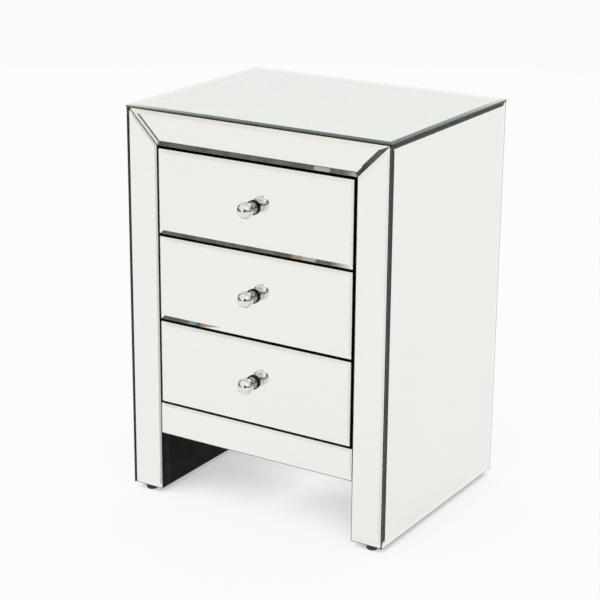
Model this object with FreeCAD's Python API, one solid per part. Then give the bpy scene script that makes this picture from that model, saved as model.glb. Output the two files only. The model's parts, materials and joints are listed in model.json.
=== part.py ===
# Mirrored accent chest with three drawers, modelled as the separate pieces it is built from.
# Millimetres. +Z is up and the drawers face -Y. The origin is on the floor, under the middle of
# the whole chest with its knobs.
import FreeCAD, Part
import os

V = FreeCAD.Vector

# Overall size: depth runs from the front glass to the back, without the knobs
WIDTH = 500.0
DEPTH = 392.0
HEIGHT = 683.0

# Mirror glass: every plate is bevelled all round, and a seam is left between neighbouring edges
GLASS = 4.0
TOP_GLASS = 5.0
BEVEL_WIDTH = 7.5
BEVEL_DROP = 1.5
SEAM = 0.4

# Front layout: stiles, top rail and apron share one visible width
FRAME_WIDTH = 56.0
DRAWER_HEIGHT = 144.6
DRAWER_GAP = 4.0
DRAWER_PROUD = 2.0
DRAWER_NAMES = ("top", "middle", "bottom")

# Boards behind the glass
SIDE_BOARD = 12.0
INNER_BOARD = 15.0
POST_DEPTH = 22.0
TOP_BOARD = 18.0
FLOOR_BOARD = 12.0
FLOOR_LEVEL = 146.0
BACK_BOARD = 3.0
BACK_RECESS = 3.0

# Drawer boxes: heights count from the lower edge of the drawer's glass
FRONT_BOARD = 15.0
FRONT_BOARD_INSET = 1.0
BOX_BOARD = 12.0
BOX_LENGTH = 340.0
BOX_LOW = 14.0
BOX_HIGH = 124.0
BOX_BOTTOM = 4.0
GROOVE_RISE = 6.0
GROOVE_DEPTH = 5.0
GROOVE_PLAY = 0.2

# Runners: two nested steel channels on each side of a drawer, with a ball cage between them
RUNNER_SPACE = 13.0
RUNNER_RISE = 60.0
RUNNER_LENGTH = 300.0
RUNNER_SETBACK = 4.0
STEEL = 1.2
OUTER_HALF = 18.0
OUTER_DEPTH = 11.5
OUTER_LIP = 1.8
INNER_HALF = 11.6
INNER_DEPTH = 10.5
STOP_HALF = 9.0
STOP_PLAY = 0.4
BALL_RADIUS = 2.3
BALL_PLAY = 0.15
BALL_PITCH = 15.0
BALLS_PER_ROW = 5
BALL_INSET = 6.5
CAGE_LENGTH = 80.0
CAGE_STEEL = 0.6
CAGE_WEB_INSET = 1.55
CAGE_LEAF = 8.35
CAGE_SETBACK = 108.0

# Knobs: distances count outwards from the drawer's glass
BALL_KNOB_RADIUS = 13.5
BALL_KNOB_CENTRE = 21.0
KNOB_BASE_RADIUS = 12.0
KNOB_BASE = 1.8
KNOB_NECK_RADIUS = 6.5
KNOB_COVE_END = 7.0
KNOB_COVE_SWEEP = 0.29
KNOB_BORE_DEPTH = 13.0
KNOB_SCREW_RADIUS = 2.0
KNOB_SCREW_BITE = 12.0
GLASS_HOLE_RADIUS = 3.0
BORE_PLAY = 0.06

# Feet: round glides, one near each corner
FOOT_HEIGHT = 10.5
FOOT_RADIUS = 10.0
FOOT_TREAD_RADIUS = 9.0
FOOT_RIM = 3.0
FOOT_BULGE = 0.5
FOOT_RECESS_RADIUS = 4.5
FOOT_RECESS = 2.0
FOOT_FROM_SIDE = 28.0
FOOT_FROM_FRONT = 16.0
FOOT_FROM_BACK = 17.0

# Screws
SCREW_RADIUS = 1.75
SCREW_HEAD_RADIUS = 3.6
SCREW_TIP = 3.0
SCREW_PLAY = 0.08
PAN_HEIGHT = 2.2
PAN_SHOULDER = 0.7
CROSS_WIDTH = 0.9
CROSS_SPAN = 3.8
CROSS_DEPTH = 1.1
FOOT_SCREW_LENGTH = 26.0
BACK_SCREW_LENGTH = 16.0
BACK_SCREW_INSET = 6.0
BACK_SCREW_ROWS = 4
RUNNER_SCREW_LENGTH = 12.0
DRAWER_SCREW_LENGTH = 10.0
RUNNER_SCREW_PLACES = (26.0, 150.0, 270.0)

# Places worked out from the sizes above
KNOB_REACH = DRAWER_PROUD + BALL_KNOB_CENTRE + BALL_KNOB_RADIUS
FRONT = (KNOB_REACH - DEPTH) / 2
BACK = FRONT + DEPTH
BEHIND_GLASS = FRONT + GLASS
BEHIND_POST = BEHIND_GLASS + POST_DEPTH
BACK_FACE = BACK - BACK_RECESS
BACK_BOARD_FRONT = BACK_FACE - BACK_BOARD
SIDE_GLASS_IN = WIDTH / 2 - GLASS
SIDE_BOARD_IN = SIDE_GLASS_IN - SIDE_BOARD
OPENING_HALF = SIDE_GLASS_IN - SEAM - FRAME_WIDTH
INNER_BOARD_OUT = OPENING_HALF + INNER_BOARD
TOP_BOARD_HIGH = HEIGHT - TOP_GLASS
TOP_BOARD_LOW = TOP_BOARD_HIGH - TOP_BOARD
GLASS_TOP = TOP_BOARD_HIGH - SEAM
RAIL_LOW = GLASS_TOP - FRAME_WIDTH
APRON_HIGH = RAIL_LOW - len(DRAWER_NAMES) * (DRAWER_HEIGHT + DRAWER_GAP) - DRAWER_GAP
APRON_LOW = APRON_HIGH - FRAME_WIDTH
DRAWER_HALF = OPENING_HALF - DRAWER_GAP
DRAWER_FRONT = FRONT - DRAWER_PROUD
DRAWER_BOARD_FRONT = DRAWER_FRONT + GLASS
BOX_FRONT = DRAWER_BOARD_FRONT + FRONT_BOARD
BOX_BACK = BOX_FRONT + BOX_LENGTH
BOX_HALF = OPENING_HALF - RUNNER_SPACE
RUNNER_FRONT = BOX_FRONT + RUNNER_SETBACK
RUNNER_BACK = RUNNER_FRONT + RUNNER_LENGTH
FOOT_X = WIDTH / 2 - FOOT_FROM_SIDE

SIDES = (("left", -1), ("right", 1))
TO_FRONT = V(0, -1, 0)
TO_BACK = V(0, 1, 0)
UP = V(0, 0, 1)


# Helpers
def block(x, y, z):
    """Box between three pairs of coordinates, each given in any order."""
    low = V(min(x), min(y), min(z))
    high = V(max(x), max(y), max(z))
    size = high - low
    return Part.makeBox(size.x, size.y, size.z, low)


def on_side(side, *distances):
    """Distances from the middle plane, as X coordinates on one side of the chest."""
    return tuple(side * d for d in distances)


def polygon(points):
    return Part.Face(Part.makePolygon(list(points) + [points[0]]))


def inset_corners(corners, normal, distance):
    """Corners of a convex outline moved inwards by the same distance from every edge."""
    count = len(corners)
    inward = []
    for i, corner in enumerate(corners):
        along = (corners[(i + 1) % count] - corner).normalize()
        inward.append(normal.cross(along))
    moved = []
    for i, corner in enumerate(corners):
        before = inward[i - 1]
        after = inward[i]
        moved.append(corner + (before + after) * (distance / (1 + before.dot(after))))
    return moved


def bevelled_glass(corners, out, thickness=GLASS):
    """Glass plate bevelled all round. The corners of its back run anticlockwise, seen along -out."""
    edge = [corner + out * (thickness - BEVEL_DROP) for corner in corners]
    face = [corner + out * thickness for corner in inset_corners(corners, out, BEVEL_WIDTH)]
    faces = [polygon(corners[::-1]), polygon(face)]
    for low, high in ((corners, edge), (edge, face)):
        for i in range(len(low)):
            j = (i + 1) % len(low)
            faces.append(polygon([low[i], low[j], high[j], high[i]]))
    return Part.makeSolid(Part.makeShell(faces))


def front_glass(outline, back):
    """Bevelled plate facing the front, from (x, z) corners in clockwise order as seen from behind."""
    return bevelled_glass([V(x, back, z) for x, z in outline], TO_FRONT)


def rectangle(across, up):
    return [(across[0], up[0]), (across[1], up[0]), (across[1], up[1]), (across[0], up[1])]


def turned(edges, base, direction):
    """Solid of revolution from edges in the XZ plane, standing on base along direction."""
    solid = Part.Face(Part.Wire(edges)).revolve(V(0, 0, 0), UP, 360)
    solid.Placement = FreeCAD.Placement(base, FreeCAD.Rotation(UP, direction))
    return solid


def lines(points):
    """Straight edges through (radius, distance) points."""
    spots = [V(radius, 0, distance) for radius, distance in points]
    return [Part.makeLine(a, b) for a, b in zip(spots, spots[1:])]


def arc(start, middle, end):
    spots = [V(radius, 0, distance) for radius, distance in (start, middle, end)]
    return Part.Arc(*spots).toShape()


def driver_cross(base, direction, depth_start):
    """Two crossed slots for the screwdriver, sunk into a head whose face is at depth_start."""
    slots = []
    for wide, tall in ((CROSS_SPAN, CROSS_WIDTH), (CROSS_WIDTH, CROSS_SPAN)):
        slot = Part.makeBox(wide, tall, CROSS_DEPTH, V(-wide / 2, -tall / 2, depth_start))
        slot.Placement = FreeCAD.Placement(base, FreeCAD.Rotation(UP, direction))
        slots.append(slot)
    return slots


def flush_outline(base, direction, length, play):
    head = SCREW_HEAD_RADIUS + play
    shank = SCREW_RADIUS + play
    neck = SCREW_HEAD_RADIUS - SCREW_RADIUS
    outline = [(0, 0), (head, 0), (shank, neck), (shank, length - SCREW_TIP), (0, length + play), (0, 0)]
    return turned(lines(outline), base, direction)


def flush_screw(base, direction, length):
    """Countersunk screw with its flat head at base."""
    return flush_outline(base, direction, length, 0.0).cut(driver_cross(base, direction, 0.0))


def flush_hole(base, direction, length):
    """The hole and seat that take a countersunk screw, with a little play."""
    return flush_outline(base, direction, length, SCREW_PLAY)


def pan_screw(base, direction, length, shank):
    """Pan head screw: the head stands on base, and the shank runs from there along direction."""
    head = SCREW_HEAD_RADIUS
    shoulder = head * PAN_SHOULDER
    outline = [(0, -PAN_HEIGHT), (shoulder, -PAN_HEIGHT), (head, -PAN_HEIGHT / 2), (head, 0), (shank, 0)]
    outline += [(shank, length - SCREW_TIP), (0, length), (0, -PAN_HEIGHT)]
    return turned(lines(outline), base, direction).cut(driver_cross(base, direction, -PAN_HEIGHT))


def pilot_hole(base, direction, length, shank):
    return Part.makeCylinder(shank + SCREW_PLAY, length + SCREW_PLAY, base, direction)


# Fastener places, as (point, direction) pairs
def foot_places():
    spots = []
    for label, side in SIDES:
        for y in (FRONT + FOOT_FROM_FRONT, BACK - FOOT_FROM_BACK):
            spots.append(V(side * FOOT_X, y, 0))
    return spots


def foot_screw_places():
    return [(spot + UP * FOOT_RECESS, UP) for spot in foot_places()]


def back_screw_places():
    low = APRON_LOW + BACK_SCREW_INSET
    high = TOP_BOARD_LOW - BACK_SCREW_INSET
    step = (high - low) / (BACK_SCREW_ROWS - 1)
    spots = []
    for label, side in SIDES:
        for row in range(BACK_SCREW_ROWS):
            x = side * (SIDE_BOARD_IN - BACK_SCREW_INSET)
            spots.append((V(x, BACK_FACE, low + row * step), TO_FRONT))
    return spots


def cabinet_screw_places():
    spots = []
    for low in drawer_levels():
        for label, side in SIDES:
            for place in RUNNER_SCREW_PLACES:
                spot = V(side * (OPENING_HALF - STEEL), RUNNER_FRONT + place, low + RUNNER_RISE)
                spots.append((spot, V(side, 0, 0)))
    return spots


def drawer_screw_places(low):
    spots = []
    for label, side in SIDES:
        for place in RUNNER_SCREW_PLACES:
            spot = V(side * (BOX_HALF + STEEL), RUNNER_FRONT + place, low + RUNNER_RISE)
            spots.append((spot, V(-side, 0, 0)))
    return spots


def drawer_levels():
    """Height of each drawer glass's lower edge, from the top drawer down."""
    step = DRAWER_HEIGHT + DRAWER_GAP
    return [RAIL_LOW - step * (i + 1) for i in range(len(DRAWER_NAMES))]


# Carcass boards
def drilled(board, places, length):
    for point, direction in places:
        board = board.cut(flush_hole(point, direction, length))
    return board


def carcass_boards():
    boards = {}
    leg = (FOOT_HEIGHT, TOP_BOARD_LOW)
    inside = (-OPENING_HALF, OPENING_HALF)
    rail_y = (BEHIND_GLASS, BEHIND_POST)
    back_pilots = [pilot_hole(p, d, BACK_SCREW_LENGTH, SCREW_RADIUS) for p, d in back_screw_places()]
    for label, side in SIDES:
        outer_x = on_side(side, SIDE_BOARD_IN, SIDE_GLASS_IN)
        boards[label + "_side_panel"] = block(outer_x, (BEHIND_GLASS, BACK), leg)
        inner_x = on_side(side, OPENING_HALF, INNER_BOARD_OUT)
        inner = block(inner_x, (BEHIND_POST, BACK_BOARD_FRONT), leg)
        boards[label + "_inner_panel"] = drilled(inner, cabinet_screw_places(), RUNNER_SCREW_LENGTH)
        post = block(on_side(side, OPENING_HALF, SIDE_BOARD_IN), rail_y, leg)
        boards[label + "_stile_post"] = drilled(post, foot_screw_places(), FOOT_SCREW_LENGTH)
        rear_x = on_side(side, INNER_BOARD_OUT, SIDE_BOARD_IN)
        rear = block(rear_x, (BACK_BOARD_FRONT - POST_DEPTH, BACK_BOARD_FRONT), leg)
        rear = drilled(rear, foot_screw_places(), FOOT_SCREW_LENGTH)
        boards[label + "_rear_post"] = rear.cut(back_pilots)
    top_x = (-SIDE_GLASS_IN, SIDE_GLASS_IN)
    boards["top_panel"] = block(top_x, (BEHIND_GLASS, BACK), (TOP_BOARD_LOW, TOP_BOARD_HIGH))
    boards["top_rail"] = block(inside, rail_y, (RAIL_LOW, TOP_BOARD_LOW))
    boards["apron_rail"] = block(inside, rail_y, (APRON_LOW, APRON_HIGH))
    floor_z = (FLOOR_LEVEL, FLOOR_LEVEL + FLOOR_BOARD)
    boards["bottom_panel"] = block(inside, (BEHIND_POST, BACK_BOARD_FRONT), floor_z)
    back_x = (-SIDE_BOARD_IN, SIDE_BOARD_IN)
    back = block(back_x, (BACK_BOARD_FRONT, BACK_FACE), (APRON_LOW, TOP_BOARD_LOW))
    boards["back_panel"] = back.cut(back_pilots)
    return boards


# Mirrors fixed to the carcass
def carcass_mirrors():
    mirrors = {}
    half = WIDTH / 2
    top = [V(-half, FRONT, 0), V(half, FRONT, 0), V(half, BACK, 0), V(-half, BACK, 0)]
    mirrors["top_mirror"] = bevelled_glass([corner + UP * TOP_BOARD_HIGH for corner in top], UP, TOP_GLASS)
    stile_out = SIDE_GLASS_IN - SEAM
    for label, side in SIDES:
        x = side * SIDE_GLASS_IN
        corners = [V(x, y, z) for y, z in rectangle((FRONT, BACK), (FOOT_HEIGHT, GLASS_TOP))]
        mirrors[label + "_side_mirror"] = bevelled_glass(corners[::side], V(side, 0, 0))
        outline = rectangle((OPENING_HALF, stile_out), (FOOT_HEIGHT, GLASS_TOP))
        outline[-1] = (OPENING_HALF, RAIL_LOW)
        stile = [(side * along, height) for along, height in outline]
        mirrors[label + "_stile_mirror"] = front_glass(stile[::side], BEHIND_GLASS)
    low_half = OPENING_HALF - SEAM
    high_half = low_half + FRAME_WIDTH
    rail = [(-low_half, RAIL_LOW), (low_half, RAIL_LOW), (high_half, GLASS_TOP), (-high_half, GLASS_TOP)]
    mirrors["top_rail_mirror"] = front_glass(rail, BEHIND_GLASS)
    apron = rectangle((-low_half, low_half), (APRON_LOW, APRON_HIGH))
    mirrors["apron_mirror"] = front_glass(apron, BEHIND_GLASS)
    return mirrors


# Feet
def foot(spot):
    """Round glide with a bellied side and a recessed screw seat, standing on the floor at spot."""
    shoulder = FOOT_HEIGHT - FOOT_RIM
    belly = ((FOOT_RADIUS + FOOT_TREAD_RADIUS) / 2 + FOOT_BULGE, shoulder / 2 - FOOT_BULGE)
    edges = lines([(0, 0), (FOOT_TREAD_RADIUS, 0)])
    edges.append(arc((FOOT_TREAD_RADIUS, 0), belly, (FOOT_RADIUS, shoulder)))
    edges += lines([(FOOT_RADIUS, shoulder), (FOOT_RADIUS, FOOT_HEIGHT), (0, FOOT_HEIGHT), (0, 0)])
    body = turned(edges, spot, UP)
    recess = Part.makeCylinder(FOOT_RECESS_RADIUS, FOOT_RECESS, spot, UP)
    hole = flush_hole(spot + UP * FOOT_RECESS, UP, FOOT_SCREW_LENGTH)
    return body.cut([recess, hole])


def feet():
    shapes = {"feet": Part.makeCompound([foot(spot) for spot in foot_places()])}
    screws = [flush_screw(p, d, FOOT_SCREW_LENGTH) for p, d in foot_screw_places()]
    shapes["foot_screws"] = Part.makeCompound(screws)
    return shapes


# Runners
def cabinet_channel(side, middle):
    """Outer channel on the inner panel, lipped to hold the balls, with a stop at its back end."""
    wall = OPENING_HALF
    along = (RUNNER_FRONT, RUNNER_BACK)
    stop_y = (RUNNER_BACK + STOP_PLAY, RUNNER_BACK + STOP_PLAY + STEEL)
    lip_edge = wall - OUTER_DEPTH
    web_z = (middle - OUTER_HALF, middle + OUTER_HALF)
    web = block(on_side(side, wall - STEEL, wall), (RUNNER_FRONT, stop_y[1]), web_z)
    stop_z = (middle - STOP_HALF, middle + STOP_HALF)
    pieces = [block(on_side(side, lip_edge, wall), stop_y, stop_z)]
    for sign in (-1, 1):
        flange_z = (middle + sign * (OUTER_HALF - STEEL), middle + sign * OUTER_HALF)
        pieces.append(block(on_side(side, lip_edge, wall), along, flange_z))
        lip_z = (middle + sign * (OUTER_HALF - OUTER_LIP - STEEL), middle + sign * OUTER_HALF)
        pieces.append(block(on_side(side, lip_edge, lip_edge + STEEL), along, lip_z))
    return drilled(web.fuse(pieces).removeSplitter(), cabinet_screw_places(), RUNNER_SCREW_LENGTH)


def drawer_channel(side, middle):
    """Inner channel on the side of a drawer box."""
    along = (RUNNER_FRONT, RUNNER_BACK)
    web_x = on_side(side, BOX_HALF, BOX_HALF + STEEL)
    web = block(web_x, along, (middle - INNER_HALF, middle + INNER_HALF))
    flanges = []
    for sign in (-1, 1):
        flange_z = (middle + sign * (INNER_HALF - STEEL), middle + sign * INNER_HALF)
        flanges.append(block(on_side(side, BOX_HALF, BOX_HALF + INNER_DEPTH), along, flange_z))
    channel = web.fuse(flanges).removeSplitter()
    places = drawer_screw_places(middle - RUNNER_RISE)
    return channel.cut([pilot_hole(p, d, DRAWER_SCREW_LENGTH, SCREW_RADIUS) for p, d in places])


def ball_cage(side, middle):
    """Folded steel strip that spaces two rows of balls, and the balls themselves."""
    start = RUNNER_FRONT + CAGE_SETBACK
    along = (start, start + CAGE_LENGTH)
    web_out = OPENING_HALF - CAGE_WEB_INSET
    ball_height = (OUTER_HALF - STEEL + INNER_HALF) / 2
    leaf_z = (ball_height - CAGE_STEEL / 2, ball_height + CAGE_STEEL / 2)
    strip_z = (middle - leaf_z[1], middle + leaf_z[1])
    strip = block(on_side(side, web_out - CAGE_STEEL, web_out), along, strip_z)
    leaves = []
    holes = []
    balls = []
    first = start + (CAGE_LENGTH - BALL_PITCH * (BALLS_PER_ROW - 1)) / 2
    for sign in (-1, 1):
        leaf_x = on_side(side, web_out - CAGE_LEAF, web_out)
        leaves.append(block(leaf_x, along, (middle + sign * leaf_z[0], middle + sign * leaf_z[1])))
        for i in range(BALLS_PER_ROW):
            ball_x = side * (OPENING_HALF - BALL_INSET)
            spot = V(ball_x, first + i * BALL_PITCH, middle + sign * ball_height)
            balls.append(Part.makeSphere(BALL_RADIUS, spot))
            start_low = spot - UP * BALL_RADIUS
            holes.append(Part.makeCylinder(BALL_RADIUS + BALL_PLAY, 2 * BALL_RADIUS, start_low, UP))
    cage = strip.fuse(leaves).removeSplitter().cut(holes)
    return [cage] + balls


def carcass_runners():
    shapes = {}
    for name, low in zip(DRAWER_NAMES, drawer_levels()):
        pair = [cabinet_channel(side, low + RUNNER_RISE) for label, side in SIDES]
        shapes[name + "_cabinet_runners"] = Part.makeCompound(pair)
    screws = [flush_screw(p, d, RUNNER_SCREW_LENGTH) for p, d in cabinet_screw_places()]
    shapes["cabinet_runner_screws"] = Part.makeCompound(screws)
    screws = [pan_screw(p, d, BACK_SCREW_LENGTH, SCREW_RADIUS) for p, d in back_screw_places()]
    shapes["back_panel_screws"] = Part.makeCompound(screws)
    return shapes


# Drawers
def knob(middle):
    """Ball knob on a coved neck and a round base, with a blind bore for its screw."""
    base = V(0, DRAWER_FRONT, middle)
    reach = (BALL_KNOB_RADIUS ** 2 - KNOB_NECK_RADIUS ** 2) ** 0.5
    neck_end = (KNOB_NECK_RADIUS, BALL_KNOB_CENTRE - reach)
    rim = (KNOB_BASE_RADIUS, KNOB_BASE)
    cove_end = (KNOB_NECK_RADIUS, KNOB_COVE_END)
    cove_mid = (KNOB_NECK_RADIUS + (KNOB_BASE_RADIUS - KNOB_NECK_RADIUS) * KNOB_COVE_SWEEP,
                KNOB_BASE + (KNOB_COVE_END - KNOB_BASE) * KNOB_COVE_SWEEP)
    widest = (BALL_KNOB_RADIUS, BALL_KNOB_CENTRE)
    tip = (0, BALL_KNOB_CENTRE + BALL_KNOB_RADIUS)
    edges = lines([(0, 0), (KNOB_BASE_RADIUS, 0), rim])
    edges.append(arc(rim, cove_mid, cove_end))
    edges += lines([cove_end, neck_end])
    edges.append(arc(neck_end, widest, tip))
    edges += lines([tip, (0, 0)])
    bore = Part.makeCylinder(KNOB_SCREW_RADIUS + BORE_PLAY, KNOB_BORE_DEPTH, base, TO_FRONT)
    return turned(edges, base, TO_FRONT).cut(bore)


def drawer_glass(low):
    outline = rectangle((-DRAWER_HALF, DRAWER_HALF), (low, low + DRAWER_HEIGHT))
    plate = front_glass(outline, DRAWER_BOARD_FRONT)
    spot = V(0, DRAWER_FRONT, low + DRAWER_HEIGHT / 2)
    return plate.cut(Part.makeCylinder(GLASS_HOLE_RADIUS, GLASS, spot, TO_BACK))


def drawer_box(low):
    """Boards of one drawer, with a groove round the box that holds its bottom."""
    board_half = DRAWER_HALF - FRONT_BOARD_INSET
    board_z = (low + FRONT_BOARD_INSET, low + DRAWER_HEIGHT - FRONT_BOARD_INSET)
    box_z = (low + BOX_LOW, low + BOX_HIGH)
    inner_half = BOX_HALF - BOX_BOARD
    inner_back = BOX_BACK - BOX_BOARD
    bottom_low = low + BOX_LOW + GROOVE_RISE
    groove_half = inner_half + GROOVE_DEPTH
    groove_y = (BOX_FRONT - GROOVE_DEPTH, inner_back + GROOVE_DEPTH)
    groove_z = (bottom_low - GROOVE_PLAY, bottom_low + BOX_BOTTOM + GROOVE_PLAY)
    groove = block((-groove_half, groove_half), groove_y, groove_z)
    screw_holes = [pilot_hole(p, d, DRAWER_SCREW_LENGTH, SCREW_RADIUS) for p, d in drawer_screw_places(low)]
    knob_spot = V(0, DRAWER_BOARD_FRONT, low + DRAWER_HEIGHT / 2)
    knob_hole = Part.makeCylinder(KNOB_SCREW_RADIUS + SCREW_PLAY, FRONT_BOARD, knob_spot, TO_BACK)
    boards = {}
    front = block((-board_half, board_half), (DRAWER_BOARD_FRONT, BOX_FRONT), board_z)
    boards["front_board"] = front.cut([groove, knob_hole])
    for label, side in SIDES:
        wall = block(on_side(side, inner_half, BOX_HALF), (BOX_FRONT, BOX_BACK), box_z)
        boards["box_%s_side" % label] = wall.cut([groove] + screw_holes)
    boards["box_back"] = block((-inner_half, inner_half), (inner_back, BOX_BACK), box_z).cut(groove)
    slack = 2 * GROOVE_PLAY
    sheet_x = (slack - groove_half, groove_half - slack)
    sheet_y = (groove_y[0] + slack, groove_y[1] - slack)
    boards["box_bottom"] = block(sheet_x, sheet_y, (bottom_low, bottom_low + BOX_BOTTOM))
    return boards


def drawer(low):
    pieces = {"front_mirror": drawer_glass(low)}
    pieces.update(drawer_box(low))
    middle = low + DRAWER_HEIGHT / 2
    pieces["knob"] = knob(middle)
    grip = FRONT_BOARD + GLASS + KNOB_SCREW_BITE
    pieces["knob_screw"] = pan_screw(V(0, BOX_FRONT, middle), TO_FRONT, grip, KNOB_SCREW_RADIUS)
    runners = [drawer_channel(side, low + RUNNER_RISE) for label, side in SIDES]
    pieces["runners"] = Part.makeCompound(runners)
    screws = [pan_screw(p, d, DRAWER_SCREW_LENGTH, SCREW_RADIUS) for p, d in drawer_screw_places(low)]
    pieces["runner_screws"] = Part.makeCompound(screws)
    return pieces


def drawers():
    shapes = {}
    for name, low in zip(DRAWER_NAMES, drawer_levels()):
        for piece, shape in drawer(low).items():
            shapes["%s_drawer_%s" % (name, piece)] = shape
        cages = []
        for label, side in SIDES:
            cages += ball_cage(side, low + RUNNER_RISE)
        shapes[name + "_ball_cages"] = Part.makeCompound(cages)
    return shapes


def main():
    os.makedirs("parts", exist_ok=True)
    nodes = {}
    for group in (carcass_boards, carcass_mirrors, feet, carcass_runners, drawers):
        nodes.update(group())
    for name, shape in nodes.items():
        shape.exportStep("parts/%s.step" % name)
    print(len(nodes), "nodes")


main()
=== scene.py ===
"""Looks of the mirrored chest of drawers: bevelled mirrors, chrome knobs, black boards and a pale studio.

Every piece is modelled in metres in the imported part's frame: +Z up, drawers towards -Y, floor at Z 0.
"""
import json
import math

import bmesh
import bpy
from bpy.props import FloatProperty, FloatVectorProperty, IntProperty, PointerProperty
from mathutils import Matrix, Vector


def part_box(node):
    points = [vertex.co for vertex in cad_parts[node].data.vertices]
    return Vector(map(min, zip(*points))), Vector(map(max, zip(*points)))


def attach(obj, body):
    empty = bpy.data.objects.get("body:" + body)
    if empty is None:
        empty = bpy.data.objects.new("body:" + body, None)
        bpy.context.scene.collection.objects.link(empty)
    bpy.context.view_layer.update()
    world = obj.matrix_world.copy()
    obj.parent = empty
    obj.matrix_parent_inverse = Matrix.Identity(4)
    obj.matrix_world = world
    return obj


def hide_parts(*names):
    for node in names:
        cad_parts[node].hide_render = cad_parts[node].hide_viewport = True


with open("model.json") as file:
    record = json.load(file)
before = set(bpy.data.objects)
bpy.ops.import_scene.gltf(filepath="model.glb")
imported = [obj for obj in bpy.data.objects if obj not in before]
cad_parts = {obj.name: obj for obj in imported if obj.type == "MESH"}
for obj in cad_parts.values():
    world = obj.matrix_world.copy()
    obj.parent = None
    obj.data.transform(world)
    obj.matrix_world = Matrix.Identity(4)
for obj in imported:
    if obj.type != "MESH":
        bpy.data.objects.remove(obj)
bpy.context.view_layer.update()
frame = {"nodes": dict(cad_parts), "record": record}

bl_info = {
    "name": "Mirrored chest of drawers",
    "version": (1, 0, 0),
    "blender": (4, 5, 0),
    "location": "3D View > Sidebar > Chest",
    "description": "Models a chest clad in bevelled mirror glass round its packed frame",
    "category": "Object",
}

DRAWERS = ("top", "middle", "bottom")
SIDES = (("left", -1), ("right", 1))
TO_FRONT = Vector((0, -1, 0))
TO_RIGHT = Vector((1, 0, 0))
UP = Vector((0, 0, 1))
RIGHT_FRONT = Vector((1, -1, 0))

# How finely the round forms are drawn
QUARTER = math.pi / 2
COVE_STEPS = 12
BALL_STEPS = 40
RIM_STEPS = 4
FLOOR_SIDES = 192
BOARD_SEGMENTS = 2
BOX_SEGMENTS = 3
# Size of the square that is merged into a profile's first point, and how near points become one
SEED = 0.01
WELD = 1e-6
# Angles from which on an edge stays sharp
SMOOTH_BOARD = math.radians(50)
SMOOTH_TURNED = math.radians(40)
# Limits on the cosine between a face's normal and the way its plate faces:
# the flat face alone, the face with its bevels, and the cut edges
FLAT = 0.99
FRONT = 0.95
EDGE = 0.1
# From which tilt on a bevel of the top counts as leaning to the right or the front
LEAN = 0.1

# How glass bends light and its edges let it through, and how much the dark coats shine
GLASS_IOR = 1.52
EDGE_TRANSMISSION = 0.55
PAINT_SHEEN = 0.1
LACQUER_SHEEN = 0.085
# Values of noise at which a pattern starts and is full, and how fine its noise is
MOTTLE_RANGE = (0.35, 0.65)
STREAK_RANGE = (0.3, 0.7)
FOLD_RANGE = (0.3, 0.7)
MOTTLE_DETAIL = 4.0
STREAK_DETAIL = 3.0
CURTAIN_DETAIL = 2.0
DRAPE_DETAIL = 0.0
SHADE_SAMPLES = 12


# Settings that a user would change
def length(name, description, default):
    return FloatProperty(name=name, description=description, default=default, min=0.0,
                         unit="LENGTH", precision=5)


def number(name, description, default):
    return FloatProperty(name=name, description=description, default=default, min=0.0)


def share(name, description, default):
    return FloatProperty(name=name, description=description, default=default, min=0.0, max=1.0,
                         subtype="FACTOR")


def colour(name, description, default):
    return FloatVectorProperty(name=name, description=description, default=default, min=0.0,
                               subtype="COLOR")


def angle(name, description, degrees):
    return FloatProperty(name=name, description=description, default=math.radians(degrees),
                         subtype="ANGLE")


def span(name, description, *degrees):
    """Part of the room: middle to the right of the front, half width, lower and upper edge, softness."""
    return FloatVectorProperty(name=name, description=description, size=5, unit="ROTATION",
                               default=tuple(math.radians(part) for part in degrees))


class MirrorSettings(bpy.types.PropertyGroup):
    bevel_width: length("Bevel width", "Width of the polished bevel round each plate", 0.0075)
    bevel_drop: length("Bevel drop", "How far the bevel falls from the face to the rim", 0.0015)
    arris: length("Arris", "Width of the fine chamfer along the cut edges", 0.0003)
    clearance: length("Clearance", "Gap between the silvering and the board behind it", 0.00015)
    warm_silver: colour("Warm silver", "Silvering of the drawers and the top rail", (0.898, 0.89, 0.844))
    cool_silver: colour("Cool silver", "Silvering of the other plates", (0.892, 0.9, 0.868))
    tarnish: share("Tarnish", "Brightness in the faint clouds of the silvering", 0.986)
    glass: colour("Glass", "Tint of light that crosses the glass", (0.985, 0.99, 0.978))
    edge: colour("Edge", "Tint of the ground edges of the glass", (0.21, 0.27, 0.22))
    edge_light: colour("Edge, light", "Paler tint along the ground edges", (0.27, 0.34, 0.28))
    # Painted light and shade: the top's edges go from the dark tint towards the front right to the paler one
    # towards the left end and the back.
    top_edge: colour("Top edge", "Tint of the thicker edges of the top", (0.13, 0.165, 0.14))
    top_edge_painted_light: colour("Top edge, lit", "Tint of those edges where light gets in", (0.45, 0.49, 0.38))
    # Painted light and shade: the top's front and right bevels go from the dim tint to the lit one towards
    # the left end and the back.
    bevel_painted_shade: colour("Dim bevel", "Tint of the top's front and right bevels", (0.09, 0.115, 0.10))
    bevel_painted_light: colour("Lit bevel", "Tint of those bevels where light gets in", (0.80, 0.84, 0.76))
    # How far the painted light in the top reaches from its left end and from its back.
    painted_light_reach_left: length("Light from the left", "Distance in which it fades in the top", 0.07)
    painted_light_reach_back: length("Light from the back", "Distance in which it fades in the top", 0.09)
    paint_lap: length("Paint lap", "How far the backing paint laps up the edges", 0.0018)
    paint: colour("Backing paint", "Dark paint behind the silvering", (0.018, 0.021, 0.017))
    paint_thin: colour("Backing paint, thin", "That paint where it is thin", (0.034, 0.04, 0.032))
    # Painted light: the top's backing paint turns paler towards its left end and back.
    paint_painted_light: colour("Backing paint, lit", "That paint where light gets in", (0.16, 0.18, 0.135))


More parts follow.
